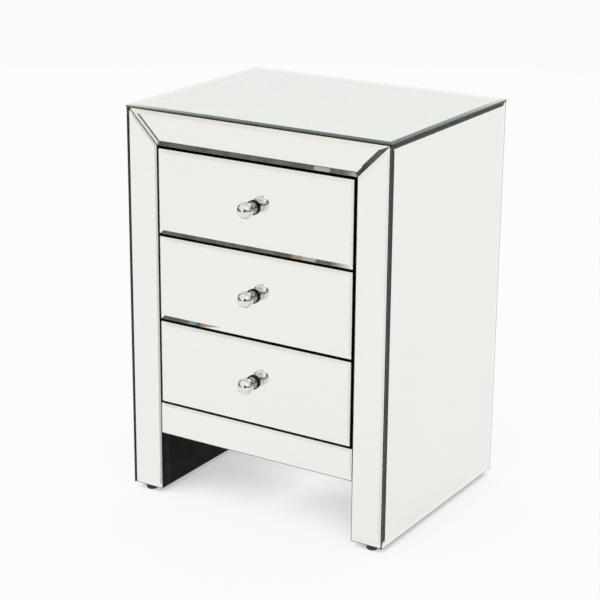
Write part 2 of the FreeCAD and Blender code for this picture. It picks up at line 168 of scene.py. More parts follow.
class BoardSettings(bpy.types.PropertyGroup):
    round_over: length("Round-over", "Radius on the edges of the lacquered boards", 0.0008)
    box_round_over: length("Drawer round-over", "Radius on the edges of the drawer boxes", 0.0015)
    lacquer: colour("Lacquer", "Black lacquer on the carcass", (0.0036, 0.0042, 0.0026))
    lacquer_dust: colour("Lacquer, dusty", "Lacquer where a little dust lies", (0.0062, 0.0068, 0.0048))
    laminate: colour("Laminate", "Charcoal laminate of the drawer boxes", (0.032, 0.031, 0.029))
    laminate_grain: colour("Laminate grain", "Paler grain lines of that laminate", (0.062, 0.06, 0.056))


class KnobSettings(bpy.types.PropertyGroup):
    steps: IntProperty(name="Steps", description="Facets round a knob", default=96, min=12)
    ball_radius: length("Ball radius", "Radius of the ball that is pulled", 0.0135)
    neck_radius: length("Neck radius", "Radius of the neck behind the ball", 0.0065)
    base_radius: length("Base radius", "Radius of the disc on the glass", 0.012)
    base_height: length("Base height", "Thickness of that disc at its rim", 0.0018)
    cove_end: length("Cove end", "Where the cove above the disc ends, from the glass", 0.007)
    rim_round: length("Rim round", "Radius on the rim of the disc", 0.0004)
    rim_width: length("Rim width", "Width of the ring of the disc that touches the glass", 0.0015)
    hollow: length("Hollow", "Depth of the hollow inside that ring", 0.0009)
    # The black seat is partly real rubber and partly painted shade: it is as tall as the dark band at the
    # glass and covers the disc and the foot of the cove.
    seat: length("Seat", "Height of the black seat on the glass", 0.0020)
    chrome: colour("Chrome", "Colour of the polished plating", (0.80, 0.80, 0.79))
    chrome_haze: colour("Chrome haze", "Colour of the plating under a faint haze", (0.74, 0.74, 0.735))
    # Painted shade: the neck and cove behind the ball get darker chrome than the ball.
    neck_chrome: colour("Neck chrome", "Plating in the cove behind the ball", (0.36, 0.36, 0.35))
    neck_haze_painted_shade: colour("Neck haze", "That plating under a faint haze", (0.27, 0.27, 0.265))
    rubber: colour("Seat rubber", "Black rubber of the seat", (0.008, 0.008, 0.008))
    rubber_pale: colour("Seat rubber, pale", "Paler grain of that rubber", (0.015, 0.015, 0.014))


class FootSettings(bpy.types.PropertyGroup):
    steps: IntProperty(name="Steps", description="Facets round a foot", default=64, min=12)
    radius: length("Radius", "Radius of the rim under the leg", 0.01)
    tread_radius: length("Tread radius", "Radius of the ring that touches the floor", 0.009)
    rim_height: length("Rim height", "Height of the straight rim under the leg", 0.003)
    recess_radius: length("Recess radius", "Radius of the recess round the screw", 0.0045)
    recess: length("Recess", "Depth of that recess", 0.002)
    edge_round: length("Edge round", "Radius on the edges of the foot", 0.0005)
    plastic: colour("Plastic", "Black plastic of the feet", (0.011, 0.011, 0.011))
    plastic_scuffed: colour("Plastic, scuffed", "That plastic where it is worn", (0.026, 0.026, 0.026))


class MetalSettings(bpy.types.PropertyGroup):
    zinc: colour("Zinc", "Zinc plate on the runners", (0.50, 0.51, 0.52))
    zinc_dull: colour("Zinc, dull", "Duller streaks of that plate", (0.38, 0.39, 0.40))
    cage: colour("Cage steel", "Bright steel of the balls and their cages", (0.60, 0.60, 0.59))
    cage_dull: colour("Cage steel, oiled", "That steel under a film of oil", (0.46, 0.45, 0.42))
    screw: colour("Screw zinc", "Yellowish zinc on the screws", (0.50, 0.49, 0.45))
    screw_dull: colour("Screw zinc, dull", "Duller patches on the screws", (0.36, 0.35, 0.31))


class StudioSettings(bpy.types.PropertyGroup):
    camera_place: FloatVectorProperty(name="Camera", description="Where the camera stands",
                                      default=(1.5318, -2.4978, 1.3100), precision=4,
                                      subtype="TRANSLATION", unit="LENGTH")
    azimuth: angle("Azimuth", "Direction of the camera round the chest, from the front", 31.872)
    elevation: angle("Elevation", "How far the camera looks down", 18.298)
    roll: angle("Roll", "Tilt of the camera about its own axis", 0.472)
    lens: number("Lens", "Focal length on the sensor, in millimetres", 108.53)
    sensor: number("Sensor", "Width of the camera's sensor, in millimetres", 36.0)
    floor_radius: length("Floor", "Radius of the pale floor", 3.9)
    floor: colour("Floor colour", "Pale paint of the floor", (0.08, 0.08, 0.08))
    floor_glow: colour("Floor glow", "Even light of the open floor", (0.897, 0.897, 0.897))
    floor_shade: colour("Floor shade", "Light of the floor deep under the chest", (0.38, 0.38, 0.375))
    shade_reach: length("Shade reach", "How far a thing stands off the floor and still shades it", 0.2)
    shade_lean: angle("Shade lean", "How far the light that fills the shade leans to the front", 15.0)
    shade_deep: share("Shade, deep", "Share of open air at which the shade is deepest", 0.05)
    shade_open: share("Shade, open", "Share of open air at which the shade ends", 0.6)
    backdrop: colour("Backdrop", "Plain backdrop, as the camera sees it", (0.957, 0.957, 0.957))
    ceiling: colour("Ceiling", "Light from the ceiling and the pale walls", (0.98, 1.0, 0.99))
    horizon: colour("Horizon", "Light from far off, at eye height", (0.80, 0.81, 0.79))
    horizon_low: angle("Horizon fade start", "Elevation where the far walls begin to brighten", 4.0)
    horizon_high: angle("Horizon fade end", "Elevation where they are as bright as the ceiling", 9.0)
    front_wall: colour("Front wall", "Wall that the chest faces", (0.40, 0.40, 0.39))
    front_wall_span: span("Front wall span", "Where that wall is", 14, 44, 3, 30, 4)
    curtain: colour("Curtain", "Dark curtain to the left of the chest", (0.015, 0.016, 0.014))
    curtain_fold: colour("Curtain folds", "Paler folds of that curtain", (0.085, 0.088, 0.08))
    curtain_scale: number("Curtain fold count", "Number of those folds per radian", 90.0)
    curtain_span: span("Curtain span", "Where that curtain is", -81.5, 52, -90, 8, 0.8)
    drape: colour("Drapes", "Heavier drapes on both sides of the chest", (0.02, 0.021, 0.019))
    drape_fold: colour("Drape folds", "Broad pale folds of the drapes", (0.42, 0.43, 0.41))
    drape_scale: number("Drape fold count", "Number of those folds per radian", 11.0)
    left_drape: span("Left drape", "Where the drape on the left is", -106, 26, -90, 6, 3)
    right_drape: span("Right drape", "Where the drape on the right is", 88, 28, -3, 12, 3)
    screen: colour("Screen", "Plain dark screen in front of the left drape", (0.02, 0.021, 0.019))
    screen_span: span("Screen span", "Where that screen is", -72, 8, -90, 23, 3)
    camera_side: colour("Camera side", "Dark corner round the camera", (0.08, 0.08, 0.078))
    camera_side_span: span("Camera side span", "Where that corner is", 29, 14, -3, 22, 3)
    lamp: colour("Lamps", "Light of the two soft boxes", (1.8, 1.8, 1.79))
    front_lamp: span("Front lamp", "Where the soft box in front of the chest is", -8, 8, 5, 34, 2)
    high_lamp: span("High lamp", "Where the soft box above the camera is", 62, 9, 36, 56, 2)
    slit: colour("Slit", "Light through the slit between the curtain and the wall", (0.42, 0.42, 0.41))
    slit_span: span("Slit span", "Where that slit is", -30.15, 0.2, -6.5, 8, 0.1)
    amber: colour("Amber glint", "Warm light that the drawers' bevels pick up", (0.34, 0.22, 0.13))
    amber_high: span("Amber glint, high", "Where the upper one is", -30.5, 0.12, -4.0, -2.6, 0.08)
    amber_low: span("Amber glint, low", "Where the lower one is", -32.65, 0.45, -5.4, -4.95, 0.08)
    blue: colour("Blue glint", "Cool light that the drawers' bevels pick up", (0.12, 0.26, 0.27))
    blue_span: span("Blue glint span", "Where that one is", -33.4, 0.1, -5.2, -4.6, 0.05)


class ChestSettings(bpy.types.PropertyGroup):
    mirror: PointerProperty(type=MirrorSettings)
    board: PointerProperty(type=BoardSettings)
    knob: PointerProperty(type=KnobSettings)
    foot: PointerProperty(type=FootSettings)
    metal: PointerProperty(type=MetalSettings)
    studio: PointerProperty(type=StudioSettings)


def settings():
    return bpy.context.scene.chest


# Modelling helpers
def only(obj):
    """Leaves obj as the one selected and active object."""
    bpy.ops.object.select_all(action="DESELECT")
    obj.select_set(True)
    bpy.context.view_layer.objects.active = obj


def block(name, low, high):
    """Box between two corners, with its place in its mesh."""
    bpy.ops.object.select_all(action="DESELECT")
    bpy.ops.mesh.primitive_cube_add(size=1.0, location=(low + high) / 2, scale=high - low)
    made = bpy.context.object
    made.name = name
    bpy.ops.object.transform_apply(location=True, rotation=True, scale=True)
    return made


def select_where(obj, kind, chosen):
    """In edit mode, selects the faces or edges that chosen accepts, and no others."""
    bpy.ops.mesh.select_mode(type=kind)
    bpy.ops.mesh.select_all(action="DESELECT")
    mesh = bmesh.from_edit_mesh(obj.data)
    mesh.normal_update()
    for part in (mesh.faces if kind == "FACE" else mesh.edges):
        if chosen(part):
            part.select_set(True)
    bmesh.update_edit_mesh(obj.data)


def give_materials(obj, rules):
    """Puts materials on a piece in order, each on the faces that its rule accepts."""
    only(obj)
    bpy.ops.object.mode_set(mode="EDIT")
    for index, (made, chosen) in enumerate(rules):
        obj.data.materials.append(made)
        obj.active_material_index = index
        select_where(obj, "FACE", chosen)
        bpy.ops.object.material_slot_assign()
    bpy.ops.object.mode_set(mode="OBJECT")


def round_edges(obj, radius, segments):
    """Rounds every edge of a piece and shades it smoothly."""
    only(obj)
    bpy.ops.object.mode_set(mode="EDIT")
    bpy.ops.mesh.select_all(action="SELECT")
    bpy.ops.mesh.bevel(offset=radius, segments=segments, affect="EDGES")
    bpy.ops.object.mode_set(mode="OBJECT")
    bpy.ops.object.shade_smooth_by_angle(angle=SMOOTH_BOARD)


def copy_of(piece, name, move):
    """A moved copy of a piece, with a mesh of its own."""
    twin = piece.copy()
    twin.data = piece.data.copy()
    twin.name = name
    bpy.context.collection.objects.link(twin)
    twin.data.transform(Matrix.Translation(move))
    return twin


def arc_points(centre, radius, start, end, count):
    """Points round a centre on a half profile, from one angle to another."""
    spots = []
    for i in range(count + 1):
        turn = start + (end - start) * i / count
        spots.append((centre[0] + radius * math.cos(turn), centre[1] + radius * math.sin(turn)))
    return spots


def quarter_curve(start, across, along):
    """Quarter of an ellipse on a half profile: it leaves start across the axis and ends along it."""
    spots = []
    for i in range(1, COVE_STEPS + 1):
        turn = QUARTER * i / COVE_STEPS
        spots.append((start[0] + across * math.sin(turn), start[1] + along * (1 - math.cos(turn))))
    return spots


def lathe(name, profile, base, out, steps):
    """Turned piece: a half profile of (radius, distance) points, drawn one by one and spun about out."""
    spots = [base + TO_RIGHT * radius + out * distance for radius, distance in profile]
    bpy.ops.object.select_all(action="DESELECT")
    bpy.ops.mesh.primitive_plane_add(size=SEED, location=spots[0])
    made = bpy.context.object
    made.name = name
    bpy.ops.object.transform_apply(location=True, rotation=True, scale=True)
    bpy.ops.object.mode_set(mode="EDIT")
    bpy.ops.mesh.select_mode(type="VERT")
    bpy.ops.mesh.merge(type="CENTER")
    for here, there in zip(spots, spots[1:]):
        bpy.ops.mesh.extrude_vertices_move(TRANSFORM_OT_translate={"value": there - here})
    bpy.ops.mesh.select_all(action="SELECT")
    bpy.ops.mesh.spin(steps=steps, angle=2 * math.pi, center=base, axis=out)
    bpy.ops.mesh.select_all(action="SELECT")
    bpy.ops.mesh.remove_doubles(threshold=WELD)
    bpy.ops.mesh.normals_make_consistent(inside=False)
    bpy.ops.object.mode_set(mode="OBJECT")
    bpy.ops.object.shade_smooth_by_angle(angle=SMOOTH_TURNED)
    return made


def place(piece, body, slot, *nodes):
    """Attaches a finished piece to the body it rides on and hides the CAD nodes it stands for. Its slot is
    not used.
    """
    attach(piece, body)
    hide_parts(*nodes)


def refinish(node, made):
    """Gives another material to a CAD node whose shape stays."""
    frame["nodes"][node].material_slots[0].material = made


# Shader helpers
def add_node(tree, kind, **values):
    made = tree.nodes.new(kind)
    for name, value in values.items():
        setattr(made, name, value)
    return made


def shader_group(name, inputs, outputs):
    """An empty node group with named sockets, and its two end nodes."""
    tree = bpy.data.node_groups.new(name, "ShaderNodeTree")
    for label, kind, default in inputs:
        socket = tree.interface.new_socket(name=label, in_out="INPUT", socket_type=kind)
        if default is not None:
            socket.default_value = default
    for label, kind in outputs:
        tree.interface.new_socket(name=label, in_out="OUTPUT", socket_type=kind)
    return tree, add_node(tree, "NodeGroupInput"), add_node(tree, "NodeGroupOutput")


def spread_noise(tree, start, end, detail, limits):
    """Noise that a node group puts out between its own Low and High. Gives the noise node."""
    noise = add_node(tree, "ShaderNodeTexNoise")
    noise.inputs["Detail"].default_value = detail
    spread = add_node(tree, "ShaderNodeMapRange")
    spread.inputs["From Min"].default_value, spread.inputs["From Max"].default_value = limits
    tree.links.new(noise.outputs["Fac"], spread.inputs["Value"])
    tree.links.new(start.outputs["Low"], spread.inputs["To Min"])
    tree.links.new(start.outputs["High"], spread.inputs["To Max"])
    tree.links.new(spread.outputs["Result"], end.inputs["Value"])
    return noise


def mottle_group():
    """Soft clouds: a value between Low and High that drifts over the surface."""
    found = bpy.data.node_groups.get("Mottle")
    if found:
        return found
    tree, start, end = shader_group(
        "Mottle",
        [("Vector", "NodeSocketVector", None), ("Scale", "NodeSocketFloat", 10.0),
         ("Low", "NodeSocketFloat", 0.0), ("High", "NodeSocketFloat", 1.0)],
        [("Value", "NodeSocketFloat")])
    noise = spread_noise(tree, start, end, MOTTLE_DETAIL, MOTTLE_RANGE)
    tree.links.new(start.outputs["Vector"], noise.inputs["Vector"])
    tree.links.new(start.outputs["Scale"], noise.inputs["Scale"])
    return tree


def streak_group():
    """Fine streaks: noise drawn out along one axis by Stretch, as a value between Low and High."""
    found = bpy.data.node_groups.get("Streaks")
    if found:
        return found
    tree, start, end = shader_group(
        "Streaks",
        [("Vector", "NodeSocketVector", None), ("Stretch", "NodeSocketVector", (1.0, 1.0, 1.0)),
         ("Low", "NodeSocketFloat", 0.0), ("High", "NodeSocketFloat", 1.0)],
        [("Value", "NodeSocketFloat")])
    drawn = add_node(tree, "ShaderNodeVectorMath", operation="MULTIPLY")
    tree.links.new(start.outputs["Vector"], drawn.inputs[0])
    tree.links.new(start.outputs["Stretch"], drawn.inputs[1])
    noise = spread_noise(tree, start, end, STREAK_DETAIL, STREAK_RANGE)
    noise.inputs["Scale"].default_value = 1.0
    tree.links.new(drawn.outputs["Vector"], noise.inputs["Vector"])
    return tree


def fade(tree, value, start, end):
    """A mask that rises smoothly from 0 to 1 as a value goes from start to end."""
    made = add_node(tree, "ShaderNodeMapRange", interpolation_type="SMOOTHSTEP")
    made.inputs["From Min"].default_value = start
    made.inputs["From Max"].default_value = end
    tree.links.new(value, made.inputs["Value"])
    return made.outputs["Result"]


def mixed(tree, mask, first, second):
    """A mix of two things by a mask, each a fixed colour or another node's output."""
    made = add_node(tree, "ShaderNodeMix", data_type="RGBA")
    tree.links.new(mask, made.inputs["Factor"])
    for label, part in (("A", first), ("B", second)):
        if isinstance(part, bpy.types.NodeSocket):
            tree.links.new(part, made.inputs[label])
        else:
            made.inputs[label].default_value = (*part, 1.0)
    return made.outputs["Result"]


def math_node(tree, operation, *parts):
    """The result of a Math node, each part a fixed number or another node's output."""
    made = add_node(tree, "ShaderNodeMath", operation=operation)
    for socket, part in zip(made.inputs, parts):
        if isinstance(part, bpy.types.NodeSocket):
            tree.links.new(part, socket)
        else:
            socket.default_value = part
    return made.outputs["Value"]


class Finish:
    """A material under construction: its node tree, its Principled shader and its Object coordinates."""

    def __init__(self, name):
        self.material = bpy.data.materials.new(name)
        self.material.use_nodes = True
        self.tree = self.material.node_tree
        self.shader = self.tree.nodes["Principled BSDF"]
        self.spot = add_node(self.tree, "ShaderNodeTexCoord").outputs["Object"]

    def set(self, **values):
        """Constant values, set on the shader's own sockets."""
        for name, value in values.items():
            self.shader.inputs[name.replace("_", " ")].default_value = value

    def group(self, tree, **values):
        """Places a shared node group with its own values and gives its output."""
        made = add_node(self.tree, "ShaderNodeGroup", node_tree=tree)
        self.tree.links.new(self.spot, made.inputs["Vector"])
        for name, value in values.items():
            made.inputs[name].default_value = value
        return made.outputs["Value"]

    def mottle(self, scale, low=0.0, high=1.0):
        """Soft clouds between two values, scale of them to the metre."""
        return self.group(mottle_group(), Scale=scale, Low=low, High=high)

    def streaks(self, stretch, low=0.0, high=1.0):
        """Fine streaks between two values, with their number to the metre along each axis."""
        return self.group(streak_group(), Stretch=stretch, Low=low, High=high)

    def feed(self, value, socket):
        """Lets a node's output drive a socket of the shader."""
        self.tree.links.new(value, self.shader.inputs[socket])

    def blend(self, mask, first, second):
        """Base colour between two colours, by a mask."""
        self.feed(mixed(self.tree, mask, first, second), "Base Color")

    def bump(self, height, strength, distance):
        """A fine relief that follows a node's output, distance deep in metres."""
        made = add_node(self.tree, "ShaderNodeBump")
        made.inputs["Strength"].default_value = strength
        made.inputs["Distance"].default_value = distance
        self.tree.links.new(height, made.inputs["Height"])
        self.feed(made.outputs["Normal"], "Normal")


def finish_named(name, build):
    """The material of that name, built on first use."""
    return bpy.data.materials.get(name) or build(Finish(name))


# Materials
def silvering(tone):
    """Silvering in one of the two tones of the settings, warm_silver or cool_silver."""
    def build(made):
        chosen = settings().mirror
        bright = getattr(chosen, tone)
        made.set(Metallic=1.0)
        made.blend(made.mottle(3.0), bright, [part * chosen.tarnish for part in bright])
        made.feed(made.mottle(22.0, low=0.0, high=0.01), "Roughness")
        return made.material
    return finish_named(tone, build)


def clear_glass():
    def build(made):
        made.set(Base_Color=(*settings().mirror.glass, 1.0), Transmission_Weight=1.0, IOR=GLASS_IOR)
        made.feed(made.mottle(14.0, low=0.0, high=0.008), "Roughness")
        return made.material
    return finish_named("clear_glass", build)


def painted_light_along(made, axis, end, reach):
    """A mask of painted light that is 1 at one end of a plate and fades away from it, as light does in
    glass.
    """
    split = add_node(made.tree, "ShaderNodeSeparateXYZ")
    made.tree.links.new(made.spot, split.inputs["Vector"])
    away = math_node(made.tree, "ABSOLUTE", math_node(made.tree, "SUBTRACT", split.outputs[axis], end))
    return math_node(made.tree, "EXPONENT", math_node(made.tree, "DIVIDE", away, -reach))


def painted_light_in_top(made):
    """Painted light in the glass of the top, as if it came in from its left end and its back."""
    chosen = settings().mirror
    low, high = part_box("top_mirror")
    return math_node(made.tree, "MAXIMUM", painted_light_along(made, "X", low.x, chosen.painted_light_reach_left),
                     painted_light_along(made, "Y", high.y, chosen.painted_light_reach_back))


def glass_edge():
    def build(made):
        chosen = settings().mirror
        made.set(Transmission_Weight=EDGE_TRANSMISSION, IOR=GLASS_IOR)
        made.blend(made.mottle(60.0), chosen.edge, chosen.edge_light)
        made.feed(made.mottle(240.0, low=0.25, high=0.4), "Roughness")
        return made.material
    return finish_named("glass_edge", build)


# Edges of the top, with painted light and shade along them.
def top_edge():
    def build(made):
        chosen = settings().mirror
        made.set(Transmission_Weight=EDGE_TRANSMISSION, IOR=GLASS_IOR)
        made.blend(painted_light_in_top(made), chosen.top_edge, chosen.top_edge_painted_light)
        made.feed(made.mottle(240.0, low=0.25, high=0.4), "Roughness")
        return made.material
    return finish_named("top_edge", build)


def top_bevel():
    """Front and right bevels of the top, as metal with painted light and shade: dim towards the front right,
    lit towards the left end and the back.
    """
    def build(made):
        chosen = settings().mirror
        made.set(Metallic=1.0)
        made.blend(painted_light_in_top(made), chosen.bevel_painted_shade, chosen.bevel_painted_light)
        made.feed(made.mottle(22.0, low=0.02, high=0.06), "Roughness")
        return made.material
    return finish_named("top_bevel", build)


def backing_paint():
    def build(made):
        chosen = settings().mirror
        made.set(Specular_IOR_Level=PAINT_SHEEN)
        made.blend(made.mottle(80.0), chosen.paint, chosen.paint_thin)
        made.feed(made.mottle(300.0, low=0.5, high=0.7), "Roughness")
        return made.material
    return finish_named("backing_paint", build)


# Backing paint of the top, with painted light towards its left end and back.
def top_paint():
    def build(made):
        chosen = settings().mirror
        made.set(Specular_IOR_Level=PAINT_SHEEN)
        made.blend(painted_light_in_top(made), chosen.paint, chosen.paint_painted_light)
        made.feed(made.mottle(300.0, low=0.5, high=0.7), "Roughness")
        return made.material
    return finish_named("top_paint", build)


def black_lacquer():
    def build(made):
        chosen = settings().board
        made.blend(made.mottle(9.0), chosen.lacquer, chosen.lacquer_dust)
        made.set(Specular_IOR_Level=LACQUER_SHEEN)
        made.feed(made.mottle(30.0, low=0.45, high=0.6), "Roughness")
        made.bump(made.mottle(420.0), strength=0.08, distance=0.0004)
        return made.material
    return finish_named("black_lacquer", build)


def charcoal_laminate():
    def build(made):
        chosen = settings().board
        made.blend(made.streaks((70.0, 5.0, 220.0)), chosen.laminate, chosen.laminate_grain)
        made.feed(made.streaks((60.0, 8.0, 160.0), low=0.42, high=0.6), "Roughness")
        made.bump(made.streaks((140.0, 10.0, 440.0)), strength=0.12, distance=0.0003)
        return made.material
    return finish_named("charcoal_laminate", build)


def polished_chrome():
    def build(made):
        chosen = settings().knob
        made.set(Metallic=1.0)
        made.blend(made.mottle(160.0), chosen.chrome, chosen.chrome_haze)
        made.feed(made.mottle(420.0, low=0.015, high=0.05), "Roughness")
        return made.material
    return finish_named("polished_chrome", build)


# Chrome of the neck and cove, darkened as painted shade behind the ball.
def neck_chrome():
    def build(made):
        chosen = settings().knob
        made.set(Metallic=1.0)
        made.blend(made.mottle(220.0), chosen.neck_chrome, chosen.neck_haze_painted_shade)
        made.feed(made.mottle(420.0, low=0.08, high=0.16), "Roughness")
        return made.material
    return finish_named("neck_chrome", build)


# Black rubber of the seat, which also stands in for painted shade in the gap at the glass.
def seat_rubber():
    def build(made):
        chosen = settings().knob
        made.blend(made.mottle(900.0), chosen.rubber, chosen.rubber_pale)
        made.feed(made.mottle(1200.0, low=0.55, high=0.75), "Roughness")
        return made.material
    return finish_named("seat_rubber", build)


def black_plastic():
    def build(made):
        chosen = settings().foot
        made.blend(made.mottle(260.0), chosen.plastic, chosen.plastic_scuffed)
        made.feed(made.mottle(500.0, low=0.45, high=0.65), "Roughness")
        made.bump(made.mottle(2400.0), strength=0.2, distance=0.0002)
        return made.material
    return finish_named("black_plastic", build)


def zinc_plate():
    def build(made):
        chosen = settings().metal
        made.set(Metallic=1.0)
        made.blend(made.streaks((300.0, 8.0, 300.0)), chosen.zinc, chosen.zinc_dull)
        made.feed(made.streaks((900.0, 12.0, 900.0), low=0.24, high=0.42), "Roughness")
        return made.material
    return finish_named("zinc_plate", build)


def bright_steel():
    def build(made):
        chosen = settings().metal
        made.set(Metallic=1.0)
        made.blend(made.mottle(90.0), chosen.cage, chosen.cage_dull)
        made.feed(made.mottle(240.0, low=0.14, high=0.3), "Roughness")
        return made.material
    return finish_named("bright_steel", build)


def screw_zinc():
    def build(made):
        chosen = settings().metal
        made.set(Metallic=1.0)
        made.blend(made.mottle(380.0), chosen.screw, chosen.screw_dull)
        made.feed(made.mottle(700.0, low=0.25, high=0.45), "Roughness")
        return made.material
    return finish_named("screw_zinc", build)


def studio_floor():
    def build(made):
        chosen = settings().studio
        made.set(Base_Color=(*chosen.floor, 1.0), Emission_Strength=1.0, Specular_IOR_Level=0.0)
        made.feed(made.mottle(2.0, low=0.85, high=0.95), "Roughness")
        # Painted shadow: the floor's even glow is darkened towards the floor shade where ambient occlusion
        # finds the chest close above, leaned towards the front.
        shelter = add_node(made.tree, "ShaderNodeAmbientOcclusion", samples=SHADE_SAMPLES)
        shelter.inputs["Distance"].default_value = chosen.shade_reach
        lean = add_node(made.tree, "ShaderNodeCombineXYZ")
        lean.inputs["Y"].default_value = -math.sin(chosen.shade_lean)
        lean.inputs["Z"].default_value = math.cos(chosen.shade_lean)
        made.tree.links.new(lean.outputs["Vector"], shelter.inputs["Normal"])
        open_air = fade(made.tree, shelter.outputs["AO"], chosen.shade_deep, chosen.shade_open)
        made.feed(mixed(made.tree, open_air, chosen.floor_shade, chosen.floor_glow), "Emission Color")
        return made.material
    return finish_named("studio_floor", build)


# Mirrors
def mirror_plate(name, out, tone, cuts=()):
    """Bevelled plate in place of the CAD node of that name: clear glass over silvering, with dark edges."""
    chosen = settings().mirror
    on_top = out == UP
    # On the top, the edges and backing paint carry painted light and shade.
    edge, paint = (top_edge(), top_paint()) if on_top else (glass_edge(), backing_paint())
    low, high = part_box(name)
    drop = out * chosen.bevel_drop
    lift = out * chosen.clearance
    if min(out) < 0:
        back = high + lift
        plate = block(name + "_plate", low - drop, back)
    else:
        back = low + lift
        plate = block(name + "_plate", back, high - drop)
    painted = back + out * chosen.paint_lap
    bpy.ops.object.mode_set(mode="EDIT")
    for point, normal in cuts:
        bpy.ops.mesh.select_all(action="SELECT")
        bpy.ops.mesh.bisect(plane_co=point, plane_no=normal, use_fill=True, clear_outer=True)
    select_where(plate, "FACE", lambda part: part.normal.dot(out) > FLAT)
    bpy.ops.mesh.inset(thickness=chosen.bevel_width, depth=chosen.bevel_drop, use_even_offset=True)
    select_where(plate, "EDGE", lambda part: any(abs(f.normal.dot(out)) < EDGE for f in part.link_faces))
    bpy.ops.mesh.bevel(offset=chosen.arris, segments=1, affect="EDGES")
    bpy.ops.mesh.select_all(action="SELECT")
    bpy.ops.mesh.bisect(plane_co=painted, plane_no=out)
    bpy.ops.object.mode_set(mode="OBJECT")
    rules = [
        (edge, lambda part: True),
        (clear_glass(), lambda part: part.normal.dot(out) > FRONT),
        (paint, lambda part: (part.calc_center_median() - painted).dot(out) < 0),
        (silvering(tone), lambda part: part.normal.dot(out) < -FLAT),
    ]
    # The top's front and right bevels get painted light and shade.
    if on_top:
        rules.append((top_bevel(), lambda part: part.normal.dot(out) > FRONT
                      and part.normal.dot(RIGHT_FRONT) > LEAN))
    give_materials(plate, rules)
    return plate


class CHEST_OT_frame_mirrors(bpy.types.Operator):
    """Mirrors fixed to the carcass: top, sides, stiles, top rail and apron"""
    bl_idname = "chest.frame_mirrors"
    bl_label = "Frame mirrors"

    def execute(self, context):
        plates = {"top_mirror": mirror_plate("top_mirror", UP, "cool_silver")}
        rail_low, rail_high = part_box("top_rail_mirror")
        rail_cuts = []
        for label, side in SIDES:
            away = Vector((side, 0, 0))
            name = label + "_side_mirror"
            plates[name] = mirror_plate(name, away, "cool_silver")
            name = label + "_stile_mirror"
            low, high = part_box(name)
            outer = max(abs(low.x), abs(high.x))
            corner = Vector((side * outer, low.y, high.z))
            mitre = Vector((-side, 0, 1)).normalized()
            plates[name] = mirror_plate(name, TO_FRONT, "cool_silver", [(corner, mitre)])
            rail_end = Vector((side * rail_high.x, rail_low.y, rail_high.z))
            rail_cuts.append((rail_end, -mitre))
        plates["top_rail_mirror"] = mirror_plate("top_rail_mirror", TO_FRONT, "warm_silver", rail_cuts)
        plates["apron_mirror"] = mirror_plate("apron_mirror", TO_FRONT, "cool_silver")
        for name, plate in plates.items():
            place(plate, "carcass", "mirror_glass", name)
        return {"FINISHED"}


class CHEST_OT_drawer_mirrors(bpy.types.Operator):
    """Mirrors on the drawer fronts, modelled once and copied down"""
    bl_idname = "chest.drawer_mirrors"
    bl_label = "Drawer mirrors"

    def execute(self, context):
        first = DRAWERS[0] + "_drawer_front_mirror"
        plates = [mirror_plate(first, TO_FRONT, "warm_silver")]
        for drawer in DRAWERS[1:]:
            name = drawer + "_drawer_front_mirror"
            plates.append(copy_of(plates[0], name + "_plate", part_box(name)[0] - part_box(first)[0]))
        for drawer, plate in zip(DRAWERS, plates):
            place(plate, drawer + "_drawer", "mirror_glass", drawer + "_drawer_front_mirror")
        return {"FINISHED"}


# Boards
class CHEST_OT_carcass_boards(bpy.types.Operator):
    """Lacquered boards of the carcass, with their edges eased"""
    bl_idname = "chest.carcass_boards"
    bl_label = "Carcass boards"

    def execute(self, context):
        radius = settings().board.round_over
        names = [label + part for label, side in SIDES
                 for part in ("_side_panel", "_inner_panel", "_stile_post", "_rear_post")]
        names += ["top_panel", "top_rail", "apron_rail", "bottom_panel", "back_panel"]
        for name in names:
            board = block(name + "_board", *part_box(name))
            round_edges(board, radius, BOARD_SEGMENTS)
            board.data.materials.append(black_lacquer())
            place(board, "carcass", "black_board", name)
        return {"FINISHED"}


class CHEST_OT_drawer_boxes(bpy.types.Operator):
    """Boards of the drawers: lacquered fronts and laminated boxes"""
    bl_idname = "chest.drawer_boxes"
    bl_label = "Drawer boxes"

    def execute(self, context):
        chosen = settings().board
        for drawer in DRAWERS:
            name = drawer + "_drawer_front_board"
            front = block(name + "_eased", *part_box(name))
            round_edges(front, chosen.round_over, BOARD_SEGMENTS)
            front.data.materials.append(black_lacquer())
            place(front, drawer + "_drawer", "black_board", name)
            for part in ("left_side", "right_side", "back"):
                name = drawer + "_drawer_box_" + part
                wall = block(name + "_eased", *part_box(name))
                round_edges(wall, chosen.box_round_over, BOX_SEGMENTS)
                wall.data.materials.append(charcoal_laminate())
                place(wall, drawer + "_drawer", "drawer_board", name)
            refinish(drawer + "_drawer_box_bottom", charcoal_laminate())
        return {"FINISHED"}


# Knobs and feet
def knob_profile():
    """Half profile of a ball knob, from the middle of its base to the tip of the ball."""
    chosen = settings().knob
    low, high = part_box(DRAWERS[0] + "_drawer_knob")
    ball_centre = high.y - low.y - chosen.ball_radius
    rim = chosen.rim_round
    ring = chosen.base_radius - chosen.rim_width
    points = [(0.0, chosen.hollow), (ring, chosen.hollow), (ring, 0.0), (chosen.base_radius, 0.0)]
    points += arc_points((chosen.base_radius - rim, chosen.base_height - rim), rim, 0, QUARTER, RIM_STEPS)
    start = points[-1]
    points += quarter_curve(start, chosen.neck_radius - start[0], chosen.cove_end - chosen.base_height)
    meet = math.acos(chosen.neck_radius / chosen.ball_radius)
    points += arc_points((0.0, ball_centre), chosen.ball_radius, -meet, QUARTER, BALL_STEPS)
    points[-1] = (0.0, ball_centre + chosen.ball_radius)
    return points


